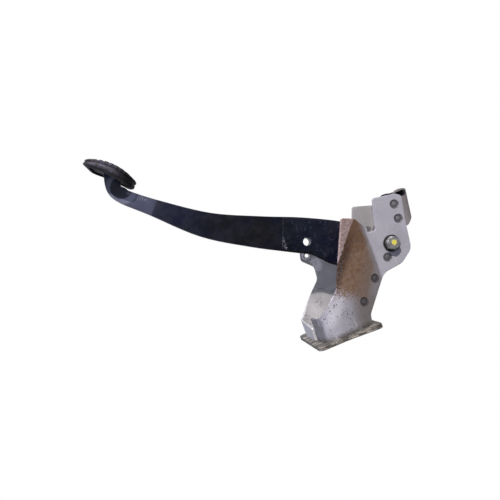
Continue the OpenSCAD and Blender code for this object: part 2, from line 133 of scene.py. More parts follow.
def lamp(name, kind, energy, colour, towards, **settings):
    """A lamp that shines along a direction."""
    data = bpy.data.lights.new(name, kind)
    data.energy = energy
    data.color = srgb(colour)[:3]
    for key, value in settings.items():
        setattr(data, key, value)
    made = bpy.data.objects.new(name, data)
    made.rotation_mode = "QUATERNION"
    made.rotation_quaternion = Vector(towards).to_track_quat("-Z", "Y")
    scene.collection.objects.link(made)
    return made


world = bpy.data.worlds.new("daylight")
world.use_nodes = True
sky = world.node_tree
sky.nodes.clear()
from_x, from_y, from_z = add(sky, "SeparateXYZ", {0: add(sky, "TexCoord").outputs["Generated"]}).outputs
strength = SKY_ALL_ROUND
for share in (masked(sky, eased(sky, from_y, -0.9, 0.35, 1.0, 0.0), SKY_REAR),
              masked(sky, eased(sky, from_z, -0.95, 0.1, 1.0, 0.0), SKY_BELOW),
              masked(sky, eased(sky, from_x, 0.75, 0.97), -SKY_CAMERA_SIDE)):
    strength = add(sky, "Math", {0: strength, 1: share}, operation="ADD").outputs[0]
strength = add(sky, "Math", {0: strength, 1: SKY_LEAST}, operation="MAXIMUM").outputs[0]
daylight = add(sky, "Background", {"Color": srgb("E9EBF8"), "Strength": strength})
backdrop = add(sky, "Background", {"Color": (1, 1, 1, 1), "Strength": 1})
straight = add(sky, "LightPath").outputs["Is Camera Ray"]
seen = add(sky, "MixShader", {0: straight, 1: daylight.outputs[0], 2: backdrop.outputs[0]})
add(sky, "OutputWorld", {0: seen.outputs[0]})
scene.world = world

lamp("sun", "SUN", SUN, "FFF6EA", SUN_TOWARDS, angle=math.radians(2))
card = lamp("sheen card", "AREA", CARD, "C2CCFF", (-1, 0, 0), shape="RECTANGLE", size=CARD_SIZE[0],
            size_y=CARD_SIZE[1])
card.location = CARD_PLACE
card.rotation_quaternion = Matrix((CARD_LONG_SIDE, Vector((1, 0, 0)).cross(CARD_LONG_SIDE),
                                   (1, 0, 0))).transposed().to_quaternion()
card.visible_camera = False


# Side plates of the bracket: two pressings of 2.5 mm steel that are flat at the pivot, flare
# outwards below a soft bend and roll inwards at the bottom, where the left one laps under the
# right. Round spot welds, each a sunk ring round a raised middle, join them to cap and channel.
MM = 0.001
plate_t = 2.5
half_w = 25.0
bend_z = 55.5
bend_r = 14.0
foot_r = 18.0
flare = math.tan(math.radians(18))
wall_low = -26.0
seat_y = -4.0
cut_r = 0.45
bolt_hole_r = 4.1
lug_hole_r = 3.4
weld_r = 4.5
weld_middle_r = 2.4


def piv(y, z, *radius):
    """A place in Y and Z, in mm, that is measured from the pivot's axis."""
    return (y - 71, z + 76.5, *radius)


cap_welds = [piv(-36, 16.8), piv(-21, 15.6)]
channel_welds = [piv(12, -8.5), piv(27, -29), piv(44, -49)]


# Patterns of the finishes. Each lies in metres on the object itself, and its size is set in mm.
def new_material(name, **values):
    """A material with one shader, whose fixed numbers are set on its own sockets."""
    made = bpy.data.materials.new(name)
    made.use_nodes = True
    tree = made.node_tree
    tree.nodes.clear()
    shader = add(tree, "BsdfPrincipled", {k.replace("_", " "): v for k, v in values.items()})
    add(tree, "OutputMaterial", {0: shader.outputs[0]})
    place = add(tree, "TexCoord").outputs["Object"]
    return made, tree, shader, place


def blotches(tree, place, size, low, high, detail=4.0, stretch=(1, 1, 1)):
    """Noise whose blotches are about size mm, cut to 0..1 between two of its values."""
    if stretch != (1, 1, 1):
        place = add(tree, "Mapping", {"Vector": place, "Scale": stretch}).outputs[0]
    grain = add(tree, "TexNoise", {"Vector": place, "Scale": 1 / (size * MM), "Detail": detail})
    return eased(tree, grain.outputs["Fac"], low, high)


def laid_on(tree, under, mask, over, share=1.0):
    """The colour over, laid on the colour under where the mask is 1, and no more than a share."""
    if share != 1.0:
        mask = masked(tree, mask, share)
    made = add(tree, "Mix", {"Factor": mask}, data_type="RGBA")
    for socket, colour in ((6, under), (7, over)):
        if isinstance(colour, bpy.types.NodeSocket):
            tree.links.new(colour, made.inputs[socket])
        else:
            made.inputs[socket].default_value = srgb(colour)
    return made.outputs[2]


def wobbled(tree, place, size, amount):
    """The place moved about by noise, so that a zone's edge isn't drawn with a ruler."""
    grain = add(tree, "TexNoise", {"Vector": place, "Scale": 1 / (size * MM), "Detail": 3.0})
    moved = add(tree, "VectorMath", {0: grain.outputs["Color"], 1: (0.5, 0.5, 0.5)}, operation="SUBTRACT")
    scaled = add(tree, "VectorMath", {0: moved.outputs[0], "Scale": amount * MM}, operation="SCALE")
    return add(tree, "VectorMath", {0: place, 1: scaled.outputs[0]}, operation="ADD").outputs[0]


def zone(tree, place, centre, radii, turn=0.0, soft=0.4):
    """1 inside an ellipse in Y and Z, in mm, that is turned by some degrees. It ends softly, and
    runs through the whole piece along X."""
    own = add(tree, "Mapping", {"Vector": place, "Location": (0, centre[0] * MM, centre[1] * MM),
                                "Rotation": (math.radians(turn), 0, 0),
                                "Scale": (1000, radii[0] * MM, radii[1] * MM)}, vector_type="TEXTURE")
    away = add(tree, "VectorMath", {0: own.outputs[0]}, operation="LENGTH")
    return eased(tree, away.outputs["Value"], 1 - soft, 1 + soft, 1.0, 0.0)


def beyond(tree, place, normal, at, soft):
    """0 below and 1 above a line in Y and Z; the normal's length is 1, the rest is in mm."""
    along = add(tree, "VectorMath", {0: place, 1: (0, normal[0], normal[1])}, operation="DOT_PRODUCT")
    return eased(tree, along.outputs["Value"], (at - soft) * MM, (at + soft) * MM)


def facing(tree, axis):
    """How much the surface faces along an axis, from -1 to 1."""
    return add(tree, "SeparateXYZ", {0: add(tree, "NewGeometry").outputs["Normal"]}).outputs[axis]


def dressed(tree, shader, colour, rough, height, depth):
    """Feeds the shader with a colour, a roughness and a height from 0 to 1 that is depth mm high."""
    bump = add(tree, "Bump", {"Height": height, "Distance": depth * MM, "Strength": 1.0})
    for key, value in (("Base Color", colour), ("Roughness", rough), ("Normal", bump.outputs[0])):
        tree.links.new(value, shader.inputs[key])


def weld_rings(tree, place, colour, welds, middle_share=0.5):
    """A dull ring with a paler middle round each spot weld."""
    for centre in welds:
        disc = zone(tree, wobbled(tree, place, 3, 1.2), centre, (4.7, 4.7), 0, 0.12)
        middle = zone(tree, wobbled(tree, place, 3, 1.0), centre, (2.0, 2.0), 0, 0.3)
        colour = laid_on(tree, colour, disc, "37363B", 0.85)
        colour = laid_on(tree, colour, middle, "83828A", middle_share)
    return colour


# Dull zinc plating on pressed steel: grey with a lavender cast, softly mottled, with dark pits where
# it is worn low down, and painted shade on the rounded edges that face the front. Its grain and pits
# are drawn at 1.5 mm, which is coarser than they are, so that they show. Each zone is a centre and
# radii in mm, a turn in degrees, a softness, a share and a colour. A function given for one pressing
# adds what lies on it only: rust and painted shade on the right plate's lobe, and painted shade
# inside the cap.
def plated_steel(name, light, dark, pits, zones=(), welds=(), painted_edge_shade=0.0, dirt_and_shade=None, depth=0.1):
    made, tree, shader, place = new_material(name, Metallic=0.3)
    mottle = blotches(tree, place, 16, 0.3, 0.7)
    grain = blotches(tree, place, 1.6, 0.3, 0.7, 3.0)
    colour = laid_on(tree, light, mottle, dark)
    colour = laid_on(tree, colour, grain, dark, 0.3)
    rough = eased(tree, mottle, 0, 1, 0.45, 0.58)
    for centre, radii, turn, soft, share, tone in zones:
        mask = zone(tree, wobbled(tree, place, 9, 5), centre, radii, turn, soft)
        colour = laid_on(tree, colour, mask, tone, share)
    low_down = beyond(tree, wobbled(tree, place, 30, 20), (0, -1), -14, 14)
    pit = masked(tree, blotches(tree, place, 1.5, 0.6, 0.66, 1.0), blotches(tree, place, 13, 0.42, 0.58),
                 eased(tree, low_down, 0, 1, 0.15, 1), pits)
    colour = laid_on(tree, colour, pit, "55514E")
    scuff = blotches(tree, place, 3.5, 0.66, 0.7, 2.0, stretch=(1, 0.2, 1))
    colour = laid_on(tree, colour, scuff, "D3D2DA", 0.35)
    colour = weld_rings(tree, place, colour, welds)
    # Painted shade: the edges that face the front are darkened.
    if painted_edge_shade:
        edge_shade = eased(tree, facing(tree, 1), 0.35, 0.7)
        colour = laid_on(tree, colour, edge_shade, "2E2C2D", painted_edge_shade)
    height = add(tree, "Math", {0: masked(tree, grain, 0.3), 1: pit}, operation="SUBTRACT").outputs[0]
    if dirt_and_shade:
        colour, rough, height = dirt_and_shade(tree, place, colour, rough, height)
    dressed(tree, shader, colour, rough, height, depth)
    return made


# Rust of the right plate's lobe: it lies between the lobe's rolled edge and the bend, is darkest
# along that edge, and breaks up into flecks towards the foot. A brown haze, partly rust and partly
# painted shade, greys the flare round it, a pinkish film covers the strip past the rolled edge, and
# grime with painted shade lies along the foot, where it meets the base.
def lobe_rust_and_shade(tree, place, colour, rough, height):
    moved = wobbled(tree, place, 6, 4)
    flecks = blotches(tree, place, 1.7, 0.4, 0.62, 3.0)
    coarse = blotches(tree, place, 4, 0.3, 0.7, 3.0)
    off_edge = beyond(tree, moved, (0.68, 0.73), -38.5, 0.8)
    off_bend = beyond(tree, wobbled(tree, place, 9, 6), (0, -1), -52, 3.5)
    off_corner = beyond(tree, moved, (-0.594, -0.804), -9, 4)
    fade = beyond(tree, wobbled(tree, place, 10, 9), (-0.81, 0.58), 38, 12)
    uneven = add(tree, "Math", {0: flecks, 1: 0.5}, operation="SUBTRACT").outputs[0]
    ragged = add(tree, "Math", {0: fade, 1: masked(tree, uneven, 0.45)}, operation="ADD").outputs[0]
    area = masked(tree, eased(tree, ragged, 0.05, 1.0), off_edge, off_bend, off_corner)
    # Partly a rust haze and partly painted shade: the flare past the bend is greyed and darkened.
    haze_and_shade = masked(tree, beyond(tree, wobbled(tree, place, 12, 6), (0, -1), -55.5, 1.6),
                  beyond(tree, wobbled(tree, place, 16, 8), (0.1, 0.995), 14, 9))
    colour = laid_on(tree, colour, haze_and_shade, laid_on(tree, "67605E", coarse, "746D6C"), 0.7)
    brown = laid_on(tree, "7E695A", coarse, "66493A")
    brown = laid_on(tree, brown, flecks, "9A7A5E", 0.4)
    grey_side = beyond(tree, wobbled(tree, place, 12, 8), (0.594, 0.804), -3, 9)
    brown = laid_on(tree, brown, grey_side, "736660", 0.75)
    by_edge = masked(tree, beyond(tree, moved, (-0.68, -0.73), 30, 5),
                     beyond(tree, wobbled(tree, place, 8, 5), (0, -1), -37, 9))
    brown = laid_on(tree, brown, by_edge, "351E0C", 0.9)
    brown = laid_on(tree, brown, beyond(tree, moved, (-1, 0), 80, 8), "573A27", 0.6)
    colour = laid_on(tree, colour, area, brown)
    strip = add(tree, "Math", {0: 1.0, 1: off_edge}, operation="SUBTRACT").outputs[0]
    strip = masked(tree, strip, beyond(tree, place, (-1, 0), 70, 4))
    film = laid_on(tree, "B5A09F", blotches(tree, place, 2, 0.35, 0.65), "8F7978")
    colour = laid_on(tree, colour, strip, film, 0.9)
    colour = weld_rings(tree, place, colour, channel_welds, 0.15)
    # Partly grime and partly painted shade along the foot, where it meets the base.
    foot = masked(tree, beyond(tree, wobbled(tree, place, 7, 3), (1, 0), -7.5, 2.5),
                  blotches(tree, place, 5, 0.2, 0.55))
    colour = laid_on(tree, colour, foot, "4A4642", 0.75)
    rough = add(tree, "Math", {0: rough, 1: masked(tree, area, 0.35)}, operation="ADD").outputs[0]
    crust = masked(tree, flecks, 1.2, area)
    height = add(tree, "Math", {0: height, 1: crust}, operation="ADD").outputs[0]
    return colour, rough, height


# Zones, right: a brown haze over the bend, partly rust and partly painted shade, a painted highlight on
# the roll of the foot and painted shade in its recess.
# Zones, left: a darker lug and a darker top, painted light on the neck and on the foot, and painted shade
# by the cut-out.
zinc_right = plated_steel("rusted zinc-plated steel", "B9B9C7", "A6A6B4", 0.9, zones=[
    # Brown haze over the bend: partly rust and partly painted shade.
    ((-16, 27), (17, 17), 30, 0.5, 0.55, "6E6866"),
    # Painted highlight on the roll of the foot.
    ((-32, -4), (18, 7), -42, 0.5, 0.8, "D6D6E6"),
    # Painted shade in the foot's recess.
    ((-17, -25), (14, 4.5), 0, 0.4, 0.75, "56575F")], welds=cap_welds, painted_edge_shade=0.8, dirt_and_shade=lobe_rust_and_shade,
    depth=0.12)
zinc_left = plated_steel("zinc-plated steel", "BABABF", "A9A9AF", 0.9, zones=[
    ((-86, 0), (8, 9), 0, 0.4, 0.35, "77767A"),
    ((-108, 72), (14, 12), 0, 0.5, 0.4, "8F8E93"),
    # Painted light on the neck.
    ((-75, 10), (9, 6), 0, 0.4, 0.9, "EDEDF2"),
    # Painted light on the foot.
    ((-14, -14), (24, 15), 0, 0.5, 0.75, "DDDDE6"),
    # Painted shade by the cut-out.
    ((-90.5, 74.3), (3.4, 3.4), 0, 0.4, 0.7, "45454F")], painted_edge_shade=0.8)


# Outlines are drawn in mm, as the CAD model's are: lines whose corners have a radius.
corner_steps = 8


def corner_arc(before, at, after, radius):
    """The arc that rounds a corner between two straight lines."""
    u = (before - at).normalized()
    v = (after - at).normalized()
    half = math.acos(max(-1, min(1, u.dot(v)))) / 2
    reach = radius / math.tan(half)
    centre = at + (u + v).normalized() * radius / math.sin(half)
    start = at + u * reach - centre
    end = at + v * reach - centre
    first = math.atan2(start.y, start.x)
    sweep = (math.atan2(end.y, end.x) - first + math.pi) % (2 * math.pi) - math.pi
    return [centre + radius * Vector((math.cos(a), math.sin(a)))
            for a in (first + sweep * i / corner_steps for i in range(corner_steps + 1))]


def rounded(corners, closed=True):
    """The line through corners, each of which is two coordinates and a radius."""
    points = []
    count = len(corners)
    for i, (u, v, radius) in enumerate(corners):
        at = Vector((u, v))
        if radius == 0 or (not closed and i in (0, count - 1)):
            points.append(at)
            continue
        before = Vector(corners[i - 1][:2])
        after = Vector(corners[(i + 1) % count][:2])
        points.extend(corner_arc(before, at, after, radius))
    return points


def resampled(points, step, closed=True):
    """The same line with points at most one step apart."""
    result = []
    last = len(points) if closed else len(points) - 1
    for i in range(last):
        a = points[i]
        b = points[(i + 1) % len(points)]
        if (b - a).length < 1e-4:
            continue
        pieces = max(1, math.ceil((b - a).length / step))
        result.extend(a.lerp(b, k / pieces) for k in range(pieces))
    if not closed:
        result.append(points[-1])
    return result


def circle(centre, radius, count):
    """Points round a circle."""
    return [Vector(centre) + radius * Vector((math.cos(a), math.sin(a)))
            for a in (2 * math.pi * i / count for i in range(count))]


def outward(loop, hole=False):
    """The direction out of the material at each point of a closed loop."""
    winds_left = sum(a.x * b.y - b.x * a.y for a, b in zip(loop, loop[1:] + loop[:1])) > 0
    sign = 1 if winds_left != hole else -1
    count = len(loop)
    result = []
    for i in range(count):
        a = (loop[i] - loop[i - 1]).normalized()
        b = (loop[(i + 1) % count] - loop[i]).normalized()
        tangent = (a + b).normalized()
        result.append(sign * Vector((tangent.y, -tangent.x)) / max(0.6, tangent.dot(a)))
    return result


def inside(points, loop):
    """Which of the points lie in a closed loop."""
    p = np.array([tuple(q) for q in points], float).reshape(-1, 2)
    line = np.array([tuple(q) for q in loop], float)
    result = np.zeros(len(p), bool)
    for (x0, y0), (x1, y1) in zip(line, np.roll(line, -1, axis=0)):
        if y0 == y1:
            continue
        crosses = (y0 > p[:, 1]) != (y1 > p[:, 1])
        at = (x1 - x0) * (p[:, 1] - y0) / (y1 - y0) + x0
        result ^= crosses & (p[:, 0] < at)
    return result


def within_sheet(points, loops):
    """Which of the points lie in the first loop and in none of the holes after it."""
    result = inside(points, loops[0])
    for hole in loops[1:]:
        result &= ~inside(points, hole)
    return result


def filled(loops, step_u, step_v, extra=(), clear=0.0):
    """Triangles over an outline with holes. Points are spread inside it a step apart, half a step
    off its line and clear of the extra points."""
    line = np.array([tuple(p) for loop in loops for p in loop])
    low = line.min(0)
    high = line.max(0)
    u = np.arange(low[0] + step_u / 2, high[0], step_u)
    v = np.arange(low[1] + step_v / 2, high[1], step_v)
    grid = np.array([(a + (step_u / 2 if k % 2 else 0), b) for k, b in enumerate(v) for a in u])
    grid = grid[within_sheet(grid, loops)]
    scale = np.array([step_u, step_v])
    off_line = np.array([np.min(np.linalg.norm((line - p) / scale, axis=1)) for p in grid])
    grid = grid[off_line > 0.55]
    if extra:
        marks = np.array([tuple(p) for p in extra])
        off_marks = np.array([np.min(np.linalg.norm(marks - p, axis=1)) for p in grid])
        grid = grid[off_marks > clear]
    points = [Vector(p) for loop in loops for p in loop] + list(extra) + [Vector(p) for p in grid]
    edges = []
    first = 0
    for loop in loops:
        count = len(loop)
        edges.extend((first + i, first + (i + 1) % count) for i in range(count))
        first += count
    out, _, faces, origin, _, _ = geometry.delaunay_2d_cdt(points, edges, [], 0, 1e-5)
    back = {i: sources[0] for i, sources in enumerate(origin) if sources}
    middles = [sum((out[i] for i in face), Vector((0, 0))) / 3 for face in faces]
    faces = [[back[i] for i in face] for face, good in zip(faces, within_sheet(middles, loops))
             if good and all(i in back for i in face)]
    return points, faces


def joined(a, b):
    """The faces between two closed rows with as many points."""
    count = len(a)
    return [(a[i], a[(i + 1) % count], b[(i + 1) % count], b[i]) for i in range(count)]


def made_mesh(name, vertices, faces):
    """A mesh in metres whose faces all look out of it."""
    mesh = bpy.data.meshes.new(name)
    mesh.from_pydata([tuple(v) for v in vertices], [], faces)
    work = bmesh.new()
    work.from_mesh(mesh)
    bmesh.ops.recalc_face_normals(work, faces=work.faces)
    work.to_mesh(mesh)
    work.free()
    return mesh


def finished(name, mesh, material, body, slot, *nodes, weighted=True):
    """Puts a mesh in the scene, smooth, on its body, in place of its CAD nodes."""
    made = bpy.data.objects.new(name, mesh)
    scene.collection.objects.link(made)
    mesh.materials.clear()
    mesh.materials.append(material)
    mesh.polygons.foreach_set("use_smooth", [True] * len(mesh.polygons))
    if weighted:
        made.modifiers.new("normals", "WEIGHTED_NORMAL").keep_sharp = True
    if body:
        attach(made, body)
    if nodes:
        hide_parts(*nodes)
    return made


# A side plate is laid out flat, as its blank is, and then bent: one coordinate is its Y, and the
# other runs down along its section, from the flat top over the bend and the flare into the foot.
sheet_step = 2.0
above_plate = 140
wave_size = 17
wave_depth = 0.12
weld_sink = 0.5
weld_rise = 0.35
weld_rows = (1.2, 1.7, 2.2, 2.7, 3.3, 3.9, 4.4, 4.9)


def sheet_mesh(name, loops, place, marks, relief):
    """A sheet with rounded edges: two faces, and a rim round each loop. place turns a point of
    the flat sheet and its depth, in mm, into metres, and relief is the depth of the near face."""
    loops = [resampled(loop, sheet_step * 0.8) for loop in loops]
    ways = [outward(loop, hole=i > 0) for i, loop in enumerate(loops)]
    shrunk = [[p - w * cut_r for p, w in zip(loop, way)] for loop, way in zip(loops, ways)]
    extra = []
    for centre in marks:
        extra.append(Vector(centre))
        for radius in weld_rows:
            extra.extend(circle(centre, radius, 20))
    extra = [p for p, good in zip(extra, inside(extra, shrunk[0])) if good]
    points, faces = filled(shrunk, sheet_step, sheet_step, extra, 0.5)
    count = len(points)
    vertices = [place(p.x, p.y, relief(p.x, p.y)) for p in points]
    vertices += [place(p.x, p.y, plate_t) for p in points]
    triangles = [tuple(f) for f in faces] + [tuple(i + count for i in reversed(f)) for f in faces]
    turns = [math.radians(a) for a in (30, 60, 90)]
    rim = [(cut_r * (1 - math.sin(a)), cut_r * (1 - math.cos(a))) for a in turns]
    rim += [(inset, plate_t - depth) for inset, depth in reversed(rim)]
    first = 0
    for loop, way in zip(loops, ways):
        rows = [range(first, first + len(loop))]
        for inset, depth in rim:
            rows.append(range(len(vertices), len(vertices) + len(loop)))
            vertices += [place(*(p - w * inset), depth) for p, w in zip(loop, way)]
        rows.append(range(count + first, count + first + len(loop)))
        for a, b in zip(rows, rows[1:]):
            triangles += joined(a, b)
        first += len(loop)
    return made_mesh(name, vertices, triangles)


def section_path(low, reach_in):
    """A plate's section in X and Z, from the top down to the foot, whose end reaches inwards."""
    foot_x = half_w + (bend_z - low) * flare
    corners = [(half_w, above_plate, 0), (half_w, bend_z, bend_r), (foot_x, low, foot_r),
               (reach_in, low, 0)]
    return resampled(rounded(corners, closed=False), 1.0, closed=False)


def along_path(path):
    """Functions of the distance along an open path: the place and the outward normal, and the
    distance at which the path comes down to a height; and the path's length."""
    points = np.array([tuple(p) for p in path])
    steps = np.linalg.norm(np.diff(points, axis=0), axis=1)
    length = np.concatenate([[0], np.cumsum(steps)])
    tangents = np.gradient(points, length, axis=0)
    tangents /= np.linalg.norm(tangents, axis=1)[:, None]
    lowest = np.argmax(points[:, 1] <= points[:, 1].min() + 0.02) + 1

    def at(s):
        s = min(max(s, 0), length[-1])
        x, z = (np.interp(s, length, points[:, k]) for k in (0, 1))
        tx, tz = (np.interp(s, length, tangents[:, k]) for k in (0, 1))
        return x, z, -tz, tx

    def reach(z):
        return float(np.interp(-z, -points[:lowest, 1], length[:lowest]))

    return at, reach, float(length[-1])


front_edge = [piv(-42, 27, 4), piv(-13, 21.5, 12), piv(12, 18, 12), piv(22.5, 4, 12),
              piv(25.5, -17, 14), piv(58, -47, 8), (seat_y, 28, 0)]
right_rear = [(-28, wall_low + 3, 3), piv(23, -73.4, 5), piv(-41, -41.5, 3),
              piv(-36, -28, 7), piv(-22, -18.5, 1.5), piv(-18, -20, 1.9), piv(-18, -10.5, 1.9),
              piv(-22, -10, 1.5), piv(-49, -3, 3), piv(-45.5, 21, 2)]
left_rear = [(-23, wall_low + 1, 12), piv(14, -70, 10), piv(0, -69, 6), piv(-11, -80, 4),
             piv(-21, -78, 5), piv(-24, -62, 8), piv(-29, -40, 12), piv(-31, -17, 3),
             piv(-48, -10.5, 2), piv(-42, 12, 4), piv(-47, 22, 6)]


def side_plate(name, side, low, reach_in, rear, rear_y, holes, material, node):
    """One side plate; side is 1 on the right and -1 on the left."""
    at, reach, end = along_path(section_path(low, reach_in))
    # The outline is drawn past the foot. What lies near and under the foot's lowest line is left
    # out, and the blank goes on there to the end of the section.
    past_foot = low - 20
    outline = rounded(front_edge + [(seat_y, past_foot, 0), (rear_y, past_foot, 0)] + rear)
    flat = [Vector((p.x, reach(p.y))) for p in resampled(outline, 1.2) if p.y > low + 0.6]
    after = flat[1:] + flat[:1]
    seat = next(i for i, p in enumerate(flat) if p.x == seat_y and after[i].x != seat_y)
    flat[seat + 1:seat + 1] = [Vector((seat_y, end)), Vector((rear_y, end))]
    marks = [(y, reach(z)) for y, z in cap_welds + channel_welds]

    def relief(u, v):
        """A weld's sunk ring and raised middle, and the soft waviness of a pressed sheet."""
        depth = wave_depth * noise.noise(Vector((u, v, side * 40)) / wave_size)
        for mark in marks:
            r = math.hypot(u - mark[0], v - mark[1])
            sunk = min(1, max(0, (weld_r - r) / 0.9))
            raised = min(1, max(0, (weld_middle_r - r) / 0.8))
            depth += weld_sink * sunk * sunk * (3 - 2 * sunk) - weld_rise * raised
        return depth

    def place(u, v, depth):
        x, z, nx, nz = at(v)
        return Vector((side * (x - nx * depth), u, z - nz * depth)) * MM

    loops = [flat] + [circle((y, reach(z)), radius, 32) for y, z, radius in holes]
    return finished(name, sheet_mesh(name, loops, place, marks, relief), material, "bracket",
                    "plated_steel", node)


side_plate("pressed_right_plate", 1, wall_low, 18, right_rear, -28,
           [piv(0, 0, bolt_hole_r)], zinc_right, "right_side_plate")
side_plate("pressed_left_plate", -1, wall_low - plate_t, -16, left_rear, -18,
           [piv(0, 0, bolt_hole_r), piv(-14.5, -72, lug_hole_r)], zinc_left, "left_side_plate")


# Rear cap and front channel: zinc-plated pressings that join the side plates behind the arm's tail
# and in front of the spring. They are spot welded to the side plates, and their edges are rounded
# by the press. The cap is scuffed outside, and painted shade darkens the inside of its rear end.
merged_within = 2e-6
flat_within = math.radians(0.5)
sharp_from = math.radians(35)


def softened(node, name, material, width, segments=2):
    """A CAD piece whose sharp edges are rounded by a width in mm."""
    source = frame["nodes"][node]
    slots = {part["node"]: part["material_slot"] for part in frame["record"]["subparts"]}
    mesh = bpy.data.meshes.new(name)
    work = bmesh.new()
    work.from_mesh(source.data)
    bmesh.ops.remove_doubles(work, verts=work.verts, dist=merged_within)
    bmesh.ops.dissolve_limit(work, angle_limit=flat_within, verts=work.verts, edges=work.edges)
    hard = [e for e in work.edges if len(e.link_faces) == 2 and e.calc_face_angle(0) > sharp_from]
    bmesh.ops.bevel(work, geom=hard, offset=width * MM, segments=segments, profile=0.5,
                    affect="EDGES", clamp_overlap=True, offset_type="OFFSET")
    bmesh.ops.triangulate(work, faces=[f for f in work.faces if len(f.verts) > 4])
    work.to_mesh(mesh)
    work.free()
    return finished(name, mesh, material, source["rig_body"], slots[node], node)


cap_wall = 20.7
cap_rear = -108
cap_roof = 115


def cap_inside_shade(tree, place, colour, rough, height):
    """Painted shade on the faces inside the cap: within its walls, behind a line, and under its roof."""
    across, _, up = add(tree, "SeparateXYZ", {0: place}).outputs
    across = add(tree, "Math", {0: across}, operation="ABSOLUTE").outputs[0]
    slanted = add(tree, "Math", {0: masked(tree, across, 0.3), 1: up}, operation="ADD").outputs[0]
    # Painted shade inside the cap's hollow.
    inside_shade = masked(tree, eased(tree, across, (cap_wall + 0.2) * MM, (cap_wall - 0.2) * MM),
                   beyond(tree, place, (-1, 0), -cap_rear, 2),
                   eased(tree, slanted, (cap_roof + 1) * MM, (cap_roof - 1) * MM))
    tone = laid_on(tree, "0C0B0B", blotches(tree, place, 4, 0.3, 0.7), "171514")
    return laid_on(tree, colour, inside_shade, tone), rough, height


zinc_cap = plated_steel("scuffed zinc-plated steel", "9C989C", "7F7B80", 0.5, dirt_and_shade=cap_inside_shade)
softened("rear_cap", "rear_cap_piece", zinc_cap, 0.5)
softened("front_channel", "front_channel_piece", zinc_left, 0.5)


# Base plate and backing plate: two flat steel sheets that the firewall's bolts clamp. The steel is
# dull grey with brown grime, which lies in long streaks along the edges and leaves them pale where
# they are rubbed.
def grimy_steel(name):
    made, tree, shader, place = new_material(name, Metallic=0.3)
    colour = laid_on(tree, "8E8A86", blotches(tree, place, 5, 0.35, 0.65), "6A6561")
    streaks = blotches(tree, place, 3.2, 0.42, 0.6, 3.0, stretch=(1, 4, 0.22))
    colour = laid_on(tree, colour, streaks, "38332F", 0.75)
    paler = blotches(tree, place, 3.0, 0.56, 0.64, 3.0, stretch=(1, 5, 0.16))
    colour = laid_on(tree, colour, paler, "C9C6C2", 0.7)
    dressed(tree, shader, colour, eased(tree, streaks, 0, 1, 0.5, 0.8), streaks, 0.15)
    return made


base_steel = grimy_steel("grimy steel")
softened("base_plate", "base_plate_piece", base_steel, 0.4)
softened("base_backing_plate", "backing_plate_piece", base_steel, 0.4)


# Weld nut: a small round nut of zinc-plated steel, projection welded to the left plate's lug. Its
# steel, like that of the other small parts, is finely mottled and half dull, with a grain that is
# drawn at 0.7 mm so that it shows.
def small_steel(name, light, dark, dab=None):
    """dab is a dab of paint: the X it starts at, its centre and its radii in mm, and its colour."""
    made, tree, shader, place = new_material(name, Metallic=0.5)
    colour = laid_on(tree, light, blotches(tree, place, 2.4, 0.35, 0.65), dark)
    rough = eased(tree, blotches(tree, place, 1.4, 0.3, 0.7), 0, 1, 0.36, 0.55)
    if dab:
        from_x, centre, radii, tone = dab
        across = add(tree, "SeparateXYZ", {0: place}).outputs[0]
        spot = masked(tree, zone(tree, wobbled(tree, place, 2.5, 1.6), centre, radii, 0, 0.1),
                      eased(tree, across, (from_x - 0.3) * MM, (from_x + 0.3) * MM))
        colour = laid_on(tree, colour, spot, tone)
        rough = add(tree, "Math", {0: rough, 1: masked(tree, spot, 0.1)}, operation="ADD").outputs[0]
    dressed(tree, shader, colour, rough, blotches(tree, place, 0.7, 0.3, 0.7, 3.0), 0.05)
    return made


softened("lug_weld_nut", "weld_nut_piece", small_steel("bright zinc", "E2E2E6", "C4C4C8"), 0.5)


# Stop buffer: a small block of moulded rubber in the bracket, on which the arm's tail rests. The
# rubber is black, a little brown where it is worn, and satin, with the mould's grain drawn at 0.8 mm
# so that it shows.
def moulded(name, tone, worn, paler=None):
    """The last argument, if given, is the colour of a painted sheen on the sides towards the pad's low
    end.
    """
    made, tree, shader, place = new_material(name, IOR=1.45)
    colour = laid_on(tree, tone, blotches(tree, place, 7, 0.35, 0.7), worn)
    # Painted sheen on the sides that face across, towards the pad's low end.
    if paler:
        out = add(tree, "Math", {0: facing(tree, 0)}, operation="ABSOLUTE").outputs[0]
        low_end = beyond(tree, wobbled(tree, place, 10, 4), (-0.716, -0.698), 271.5, 14)
        side = masked(tree, eased(tree, out, 0.7, 0.93), low_end)
        painted_sheen = laid_on(tree, paler, blotches(tree, place, 3, 0.3, 0.7), worn)
        colour = laid_on(tree, colour, side, painted_sheen)
    rough = eased(tree, blotches(tree, place, 5, 0.3, 0.7), 0, 1, 0.42, 0.6)
    dressed(tree, shader, colour, rough, blotches(tree, place, 0.8, 0.3, 0.7, 3.0), 0.08)
    return made


softened("stop_buffer", "stop_buffer_piece", moulded("soft rubber", "1C1B1C", "2A2827"), 0.6)


# Pivot bolt and nut: forged steel with dull zinc, and a dab of yellow marking paint on the bolt's
# head. Each hexagon is chamfered into a round, and the bolt's end that stands out of the nut is
# threaded. The washers under both are black with phosphate; the bolt clamps them and the sleeve.
pivot = Vector((0, *piv(0, 0))) * MM
hex_corner = 6.5 / math.cos(math.radians(30))
bolt_r = 4.0
root_r = 3.5
thread_pitch = 1.24
thread_rows = 17
ring_sides = 48
seat_x = half_w + 1.6
bolt_end = -seat_x - 12
nut_end = -seat_x - 8
head_end = seat_x + 6.4


def ring(x, radius, hexagonal=0.0):
    """Points round the pivot's axis, from a circle to a hexagon with rounded corners."""
    points = []
    for i in range(ring_sides):
        a = 2 * math.pi * (i + 0.5) / ring_sides
        flat = math.cos(math.radians(30)) / math.cos((a % math.radians(60)) - math.radians(30))
        r = radius * (1 + (min(flat, 0.985) - 1) * hexagonal)
        points.append(pivot + Vector((x, r * math.cos(a), r * math.sin(a))) * MM)
    return points


